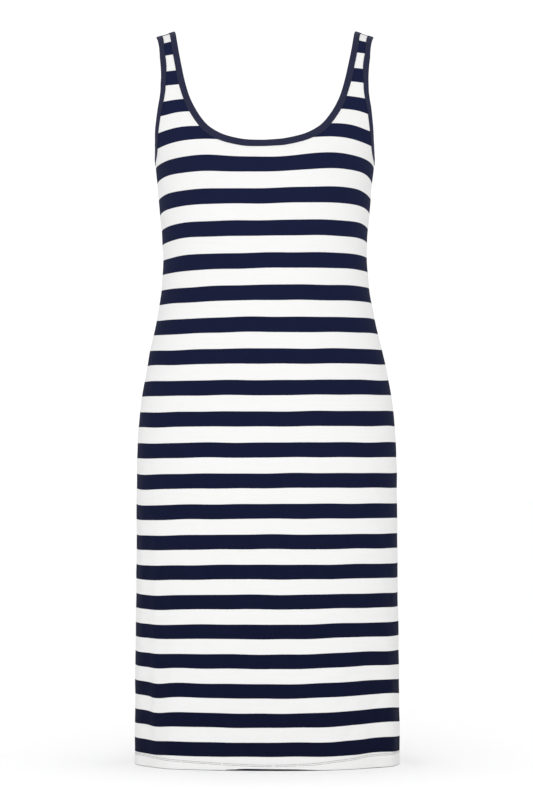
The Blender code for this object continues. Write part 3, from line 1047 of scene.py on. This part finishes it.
def striped_jersey(cloth):
    """White single jersey with horizontal navy stripes, knitted in."""
    shade = Shade("striped_jersey")
    across, along = shade.pattern()
    relief, edge = knit_height(across, along, cloth)
    fuzz = shade.speckle(across * 900, along * 900, detail=1.0)
    place = (along + edge * cloth.tooth + fuzz * STRIPE_FUZZ) / STRIPE_REPEAT
    half = (along * cloth.navy_growth + cloth.navy_share) * 0.5
    away = ((place + (0.5 - half)).part() - 0.5).size()
    navy = ((half - away) * (STRIPE_REPEAT / STRIPE_BLUR) + 0.5).limited()
    barre = shade.speckle(across * 9, along * 420, detail=3.0, roughness=0.6)
    mottle = shade.speckle(across * 70, along * 70, detail=3.0, roughness=0.55)
    yarn = shade.speckle(across * 1600, along * 700, detail=1.0)
    # Painted shade: both the white and the navy are made darker in the gaps between the wales.
    wale_gap_shade = edge * edge
    pale = barre * 0.045 + mottle * 0.03 + yarn * 0.03 - wale_gap_shade * 0.03 + 1.0
    # Painted shade: along * 0.62 makes the navy darker towards the hem, standing in for the weaker light
    # and sheen low down. Barre, mottle and yarn are the knit's own tone.
    dark = barre * 0.16 + mottle * 0.20 + yarn * 0.25 - wale_gap_shade * 0.12 - along * 0.62 + 1.12
    white = shade.shaded(cloth.white, pale)
    blue = shade.shaded(cloth.navy, dark)
    return shade.finished(
        Base_Color=shade.mixed(navy, white, blue, clamp_factor=True),
        Roughness=0.92 - navy * 0.05,
        Specular_IOR_Level=0.035,
        Sheen_Weight=0.020,
        Sheen_Roughness=0.40,
        Sheen_Tint=(0.72, 0.80, 1.0, 1.0),
        Normal=shade.bumped(relief + fuzz * 0.5, KNIT_DEPTH, 0.55),
    )


def navy_jersey(strip):
    """The navy jersey of the bindings, cut across so that its wales run round the edge."""
    shade = Shade("navy_binding")
    round_way, across = shade.pattern()
    relief, edge = knit_height(across, round_way, strip)
    mottle = shade.speckle(round_way * 120, across * 260, detail=3.0)
    yarn = shade.speckle(round_way * 700, across * 1500, detail=1.0)
    # Painted shade: the strip is made darker in the gaps between its wales.
    amount = mottle * 0.35 + yarn * 0.35 - edge * edge * 0.25 + 1.06
    return shade.finished(
        Base_Color=shade.shaded(strip.colour, amount),
        Roughness=mottle * 0.1 + 0.85,
        Specular_IOR_Level=0.08,
        Sheen_Weight=0.08,
        Sheen_Roughness=0.4,
        Sheen_Tint=(0.78, 0.80, 1.0, 1.0),
        Normal=shade.bumped(relief + yarn * 0.5, KNIT_DEPTH, 0.6),
    )


def spun_thread(name, colour):
    """Spun sewing thread, with its fibres as a fine unevenness."""
    shade = Shade(name)
    fleck = shade.cloud(2600.0, 1.0)
    return shade.finished(
        Base_Color=shade.shaded(colour, fleck * 0.5 + 0.75),
        Roughness=fleck * 0.3 + 0.5,
        Specular_IOR_Level=0.3,
        Normal=shade.bumped(fleck, 0.00008, 0.5),
    )


def matt_paint(name, colour):
    """The studio floor's matt paint."""
    shade = Shade(name)
    cloud = shade.cloud(3.0, 4.0)
    return shade.finished(
        Base_Color=shade.shaded(colour, cloud * 0.02 + 0.99),
        Roughness=cloud * 0.05 + 0.9,
        Specular_IOR_Level=0.1,
    )


# Sewing


def ring_points(number, distance):
    """The points of one of the sewn edges, round both faces as a closed ring, and the ways out there."""
    points, outs = [], []
    for face in FACES:
        run = sewn_edges(face, distance)[number]
        here, out = on_form(face, *run), directions(face, *run)[2]
        if face == BACK:
            here, out = here[::-1][1:-1], out[::-1][1:-1]
        points.append(here)
        outs.append(out)
    return np.concatenate(points), np.concatenate(outs)


class BoundEdge:
    """A closed edge of the dress that a folded strip binds: its fold and its sewn line."""

    def __init__(self, number, width, narrowing):
        self.width = width
        self.fold, out = ring_points(number, 0)
        lowness = ease(self.fold[:, 2] / self.fold[:, 2].min())
        inward = ring_points(number, width)[0] - self.fold
        self.inward = inward * (1 - narrowing * (1 - lowness))[:, None]
        along = np.roll(self.fold, -1, axis=0) - np.roll(self.fold, 1, axis=0)
        square = unit(np.cross(along, self.inward))
        self.out = square * np.sign((square * out).sum(axis=1))[:, None]
        gone = gone_along(np.concatenate([self.fold, self.fold[:1]]))
        self.gone, self.length = gone[:-1], gone[-1]

    def at(self, across, height):
        """The ring of points at a share of the width and a height from the middle."""
        return self.fold + across * self.inward + height * self.out

    def waves(self, rows):
        """A sum of waves round the ring, each with a whole number of turns."""
        round_ring = self.gone / self.length
        return sum(swing(wave, max(1, round(self.length / wave.length)) * round_ring) for wave in rows)


def bound_edges(strip):
    """The three bound edges, by the name of the solid that each stands for."""
    return {
        "neck_binding": BoundEdge(0, strip.neck_width, strip.narrowing),
        "armhole_binding_left": BoundEdge(2, strip.width, strip.narrowing),
        "armhole_binding_right": BoundEdge(1, strip.width, strip.narrowing),
    }


Thread = namedtuple("Thread", "form material")


def stitch_form(length, thickness):
    """The points and faces of one stitch, a grain of thread that lies along X."""
    bpy.ops.object.select_all(action="DESELECT")
    bpy.ops.mesh.primitive_uv_sphere_add(segments=6, ring_count=5, radius=0.5)
    grain = bpy.context.object
    bpy.ops.object.mode_set(mode="EDIT")
    bpy.ops.mesh.select_all(action="SELECT")
    bpy.ops.transform.rotate(value=SIDE, orient_axis="Y", center_override=(0, 0, 0))
    bpy.ops.transform.resize(value=(length, thickness, thickness * THREAD_FLATNESS))
    bpy.ops.object.mode_set(mode="OBJECT")
    points = np.array([v.co for v in grain.data.vertices])
    faces = [list(p.vertices) for p in grain.data.polygons]
    bpy.data.objects.remove(grain)
    return points, faces


def spaced(points, normals, step, closed):
    """Even places along a path, with the path's direction and its normal at each."""
    if closed:
        points, normals = (np.concatenate([run, run[:1]]) for run in (points, normals))
    gone = gone_along(points)
    count = round(gone[-1] / step)
    at = (np.arange(count) + 0.5) * gone[-1] / count
    here, ahead, behind, normal = (
        np.stack([np.interp(where, gone, run[:, k]) for k in range(3)], axis=1)
        for run, where in ((points, at), (points, at + step / 4), (points, at - step / 4), (normals, at))
    )
    return here, unit(ahead - behind), unit(normal)


def straight(along, up):
    """Stitches in line with their row."""
    return along


def zigzag(along, up):
    """Stitches that slant down and up in turn."""
    slant = np.where(np.arange(len(along)) % 2 == 0, 1.0, -1.0)[:, None]
    return along * ZIGZAG_ALONG + np.cross(along, up) * slant


def crosswise(along, up):
    """Stitches across their row, all slanting a little."""
    return np.cross(up, along) + along * OVERLOCK_ALONG


def sew_row(name, slot, thread, points, normals, step, heading=straight, closed=False):
    """One piece with a stitch at each step of a path, each lying on the cloth in its own heading."""
    grain, faces = thread.form
    here, along, up = spaced(points, normals, step, closed)
    along = unit(heading(along, up))
    side = unit(np.cross(up, along))
    up = np.cross(along, side)
    turned = sum(grain[None, :, k, None] * way[:, None] for k, way in enumerate((along, side, up)))
    copies = [[c + i * len(grain) for c in f] for i in range(len(here)) for f in faces]
    piece = mesh_object(name, (turned + here[:, None]).reshape(-1, 3), copies, thread.material)
    changed(piece, bmesh.ops.recalc_face_normals)
    on_root(piece, slot)


# Properties


def length_setting(name, description, default):
    """A size that a user can change."""
    return FloatProperty(name=name, description=description, default=default, unit="LENGTH")


def number_setting(name, description, default):
    """A number that a user can change."""
    return FloatProperty(name=name, description=description, default=default)


def colour_setting(name, description, *default):
    """A colour that a user can change."""
    return FloatVectorProperty(name=name, description=description, subtype="COLOR", default=default)


class DressCloth(PropertyGroup):
    """The striped jersey of the front and the back."""

    thickness: length_setting("Thickness", "Thickness of the jersey", 0.0008)
    wale: length_setting("Wale", "Width of one column of knit stitches", 0.0009)
    course: length_setting("Course", "Height of one row of knit stitches", 0.0007)
    tooth: length_setting("Tooth", "How far each stitch carries its colour down", 0.0003)
    navy_share: FloatProperty(
        name="Navy Share", description="Share of the repeat that is navy", default=0.480, min=0, max=1
    )
    navy_growth: number_setting("Navy Growth", "How much that share grows in each metre down", 0.021)
    white: colour_setting("White", "Colour of the white yarn", 0.720, 0.720, 0.715)
    navy: colour_setting("Navy", "Colour of the navy yarn", 0.0070, 0.0095, 0.0320)


class DressBindings(PropertyGroup):
    """The folded strips round the neck and the armholes."""

    width: length_setting("Width", "Width of the armholes' strips, low down", 0.0081)
    neck_width: length_setting("Neck Width", "Width of the neck's strip at the middle", 0.0093)
    narrowing: number_setting("Narrowing", "Share of the width that the strips lose on the straps", 0.10)
    thickness: length_setting("Thickness", "Thickness of all the layers", 0.0024)
    wale: length_setting("Wale", "Width of one column of knit stitches", 0.0009)
    course: length_setting("Course", "Height of one row of knit stitches", 0.0007)
    colour: colour_setting("Navy", "Colour of the strip", 0.0185, 0.0205, 0.0465)


class DressSewing(PropertyGroup):
    """The thread of the hem, the bindings and the seams."""

    stitch: length_setting("Stitch", "Length of a topstitch", 0.0028)
    thread: length_setting("Thread", "Thickness of the thread", 0.00036)
    overlock: length_setting("Overlock", "Distance between overlock stitches", 0.0026)
    hem_thread: length_setting("Hem Thread", "Thickness of the hem's thread", 0.0005)
    # The hem thread's dark grey is partly the thread's own colour and partly painted shade of the groove
    # that its rows draw.
    grey: colour_setting("Hem Thread Colour", "Colour of the hem's thread", 0.13, 0.13, 0.14)
    pale: colour_setting(
        "Inner Thread", "Colour of the thread inside the hem and the seams", 0.60, 0.60, 0.60
    )
    dark: colour_setting("Binding Thread", "Colour of the bindings' thread", 0.012, 0.013, 0.030)


class DressStage(PropertyGroup):
    """The studio: its floor, its light and its camera."""

    floor_gap: length_setting("Floor Gap", "How far the floor lies below the hem", 0.0005)
    floor: colour_setting("Floor", "Colour of the floor", 0.955, 0.955, 0.955)
    ambient: number_setting("Ambient", "Strength of the light all round", 1.05)
    key: FloatProperty(name="Key", description="Power of the lamp in front", default=32.0, unit="POWER")
    distance: length_setting("Camera Distance", "From the camera to the dress", 4.5)


# Operators


class SewCloth(Operator):
    """Makes the front and the back, with their stripes, creases, seams and turned-up hem"""

    bl_idname = "dress.sew_cloth"
    bl_label = "Sew Front and Back"

    def execute(self, context):
        settings = context.scene.dress_cloth
        material = striped_jersey(settings)
        for face, name in FACES.items():
            cloth = Cloth(face, settings.thickness)
            turn, drop, faces = cloth_places(cloth)
            piece = mesh_object(name + "_cloth", cloth.place(turn, drop)[0], faces, material)
            write_pattern(piece, cloth.pattern(turn, drop))
            self.squared(piece)
            turned_out(piece, face)
            walled(piece, settings.thickness)
            on_root(piece, "striped_jersey", name)
        return {"FINISHED"}

    def squared(self, piece):
        """Joins the triangles of the cloth in pairs into squares."""
        changed(
            piece,
            bmesh.ops.join_triangles,
            cmp_uvs=False,
            angle_face_threshold=JOIN_FACES,
            angle_shape_threshold=JOIN_SHAPES,
        )


class SewBindings(Operator):
    """Folds a navy strip over the neck edge and over each armhole edge"""

    bl_idname = "dress.sew_bindings"
    bl_label = "Sew Bindings"

    def execute(self, context):
        settings = context.scene.dress_bindings
        material = navy_jersey(settings)
        for node, edge in bound_edges(settings).items():
            piece = self.strip(node, edge, settings.thickness, material)
            on_root(piece, "navy_binding", node)
            UNFOLDED * edge.width
        return {"FINISHED"}

    def strip(self, node, edge, thickness, material):
        """One folded strip as a closed ring of its section."""
        swell = 1 + edge.waves(BINDING_UNEVEN) / thickness * 2
        wander = edge.waves(BINDING_WANDER) / edge.width
        loop = BINDING_SECTION + [p._replace(height=-p.height) for p in BINDING_SECTION[:0:-1]]
        corners, places = [], []
        round_section = 0.0
        for corner, following in zip(loop, loop[1:] + loop[:1]):
            across = corner.across * (1 + wander * ease((corner.across - WANDER_FROM) / (1 - WANDER_FROM)))
            height = corner.height * thickness * swell
            corners.append(edge.at(across[:, None], height[:, None]))
            places.append(np.stack([edge.gone, np.full(len(edge.gone), round_section)], axis=1))
            round_section += math.hypot(
                (following.across - corner.across) * edge.width,
                (following.height - corner.height) * thickness,
            )
        here = np.arange(len(edge.fold) * len(loop)).reshape(-1, len(loop))
        ahead = np.roll(here, -1, axis=0)
        faces = [here, np.roll(here, -1, axis=1), np.roll(ahead, -1, axis=1), ahead]
        faces = np.stack(faces, axis=2).reshape(-1, 4).tolist()
        points = np.stack(corners, axis=1).reshape(-1, 3)
        piece = mesh_object(node + "_strip", points, faces, material)
        write_pattern(piece, np.stack(places, axis=1).reshape(-1, 2))
        changed(piece, bmesh.ops.recalc_face_normals)
        return piece


class SewStitches(Operator):
    """Stitches down the hem and the bindings, and overlocks the seams inside"""

    bl_idname = "dress.sew_stitches"
    bl_label = "Sew Stitches"

    def execute(self, context):
        cloth, sewing = context.scene.dress_cloth, context.scene.dress_sewing
        # The hem thread's dark grey carries painted shade of the hem's groove as well as the thread's own
        # colour.
        grey = spun_thread("hem_thread", sewing.grey)
        pale = spun_thread("inner_thread", sewing.pale)
        dark = spun_thread("binding_thread", sewing.dark)
        form = stitch_form(sewing.stitch * STITCH_FILL, sewing.thread)
        hem_form = stitch_form(sewing.stitch * HEM_STITCH_FILL, sewing.hem_thread)
        sheets = {face: Cloth(face, cloth.thickness) for face in FACES}
        for face, sheet in sheets.items():
            self.hem(FACES[face], sheet, cloth, sewing, Thread(hem_form, grey))
            self.looper(FACES[face], sheet, cloth, sewing, Thread(form, pale))
        strip = context.scene.dress_bindings
        for node, edge in bound_edges(strip).items():
            self.binding(node, edge, strip, sewing, Thread(form, dark))
        thread = Thread(stitch_form(SEAM_ALLOWANCE * OVERLOCK_LENGTH, sewing.thread), pale)
        for name, side in (("left", 1), ("right", -1)):
            for face, sheet in sheets.items():
                self.overlock(f"{name}_{FACES[face]}", side, sheet, cloth, sewing, thread)
        return {"FINISHED"}

    def hem(self, name, sheet, cloth, sewing, thread):
        """The two rows that show outside."""
        turn = np.linspace(-SIDE, SIDE, ROW_SAMPLES)
        raised = cloth.thickness / 2 + sewing.hem_thread * THREAD_RISE
        for number, above in enumerate(HEM_ROWS):
            points, out = sheet.place(turn, hem_row(turn, above))
            row = f"{name}_hem_row_{number + 1}"
            sew_row(row, "striped_jersey", thread, points + out * raised, out, sewing.stitch)

    def looper(self, name, sheet, cloth, sewing, thread):
        """The looping thread inside, which zigzags over the raw edge of the hem."""
        turn = np.linspace(-SIDE, SIDE, ROW_SAMPLES)
        points, out = sheet.place(turn, hem_row(turn, HEM_MIDDLE))
        points = points - out * (cloth.thickness / 2 + 2 * HEM_ROLL + sewing.thread * THREAD_RISE)
        step = sewing.stitch / 2
        sew_row(f"{name}_hem_looper", "striped_jersey", thread, points, out, step, heading=zigzag)

    def binding(self, node, edge, strip, sewing, thread):
        """The row near the sewn edge of a binding, outside and inside."""
        across, height = BINDING_ROW
        height = height * strip.thickness + sewing.thread * BINDING_THREAD_RISE
        for name, way in (("outer", 1), ("inner", -1)):
            points = edge.at(across, way * height)
            row = f"{node}_{name}_row"
            sew_row(row, "navy_binding", thread, points, way * edge.out, sewing.stitch, closed=True)

    def overlock(self, name, side, sheet, cloth, sewing, thread):
        """The thread round one face's allowance at a side seam, inside."""
        drop = np.linspace(OVERLOCK_BEGIN, OVERLOCK_END, ROW_SAMPLES)
        past = SIDE + SEAM_ALLOWANCE * OVERLOCK_ACROSS / SHEET_SCALE
        points, further = (
            sheet.place(np.full(len(drop), side * turn), drop)[0]
            for turn in (past, past + OVERLOCK_STEP / SHEET_SCALE)
        )
        away = unit(np.cross(unit(further - points), unit(np.gradient(points, axis=0))))
        away *= np.sign(away[:, 1] * sheet.face)[:, None]
        points = points + away * (cloth.thickness / 2 + sewing.thread * THREAD_RISE)
        row = f"{name}_overlock"
        sew_row(row, "striped_jersey", thread, points, away, sewing.overlock, heading=crosswise)


class SetStage(Operator):
    """Lays the floor and sets the soft studio light and the camera"""

    bl_idname = "dress.set_stage"
    bl_label = "Set Stage"

    def execute(self, context):
        settings = context.scene.dress_stage
        self.floor(settings)
        self.light(context, settings)
        self.camera(context, settings)
        return {"FINISHED"}

    def floor(self, settings):
        bpy.ops.object.select_all(action="DESELECT")
        height = -LENGTH - settings.floor_gap
        bpy.ops.mesh.primitive_plane_add(size=FLOOR_SIZE, location=(0, 0, height))
        bpy.ops.object.transform_apply(location=True, rotation=False, scale=False)
        floor = bpy.context.object
        floor.name = "studio_floor"
        floor.data.materials.append(matt_paint("studio_floor", settings.floor))

    def light(self, context, settings):
        world = bpy.data.worlds.new("studio")
        world.use_nodes = True
        around = world.node_tree.nodes["Background"]
        around.inputs["Color"].default_value = (1, 1, 1, 1)
        around.inputs["Strength"].default_value = settings.ambient
        context.scene.world = world
        bpy.ops.object.light_add(type="AREA", location=LAMP_PLACE)
        lamp = bpy.context.object
        lamp.name = "key_lamp"
        lamp.data.energy = settings.key
        lamp.data.shape = "RECTANGLE"
        lamp.data.size, lamp.data.size_y = LAMP_SIZE
        lamp.rotation_euler = (LAMP_AIM - lamp.location).to_track_quat("-Z", "Y").to_euler()

    def camera(self, context, settings):
        data = bpy.data.cameras.new("photo_camera")
        data.lens = LENS
        camera = bpy.data.objects.new("photo_camera", data)
        camera.location = (EYE_ASIDE, -settings.distance, EYE_HEIGHT)
        camera.rotation_euler = (math.pi / 2 + EYE_TILT, 0, 0)
        context.scene.collection.objects.link(camera)
        context.scene.camera = camera
        context.scene.view_settings.view_transform = "Standard"


class DressPanel(Panel):
    """The dress's sizes and colours, and the steps that make it"""

    bl_idname = "VIEW3D_PT_striped_shift_dress"
    bl_label = "Striped Shift Dress"
    bl_space_type = "VIEW_3D"
    bl_region_type = "UI"
    bl_category = "Dress"

    def draw(self, context):
        for name, group, operator in STEPS:
            box = self.layout.box()
            for setting in group.__annotations__:
                box.prop(getattr(context.scene, name), setting)
            box.operator(operator.bl_idname)


STEPS = [
    ("dress_cloth", DressCloth, SewCloth),
    ("dress_bindings", DressBindings, SewBindings),
    ("dress_sewing", DressSewing, SewStitches),
    ("dress_stage", DressStage, SetStage),
]


def register():
    for name, group, operator in STEPS:
        bpy.utils.register_class(group)
        setattr(bpy.types.Scene, name, PointerProperty(type=group))
        bpy.utils.register_class(operator)
    bpy.utils.register_class(DressPanel)


def unregister():
    bpy.utils.unregister_class(DressPanel)
    for name, group, operator in reversed(STEPS):
        bpy.utils.unregister_class(operator)
        delattr(bpy.types.Scene, name)
        bpy.utils.unregister_class(group)


def main():
    register()
    bpy.ops.dress.sew_cloth()
    bpy.ops.dress.sew_bindings()
    bpy.ops.dress.sew_stitches()
    bpy.ops.dress.set_stage()


if __name__ == "__main__":
    main()
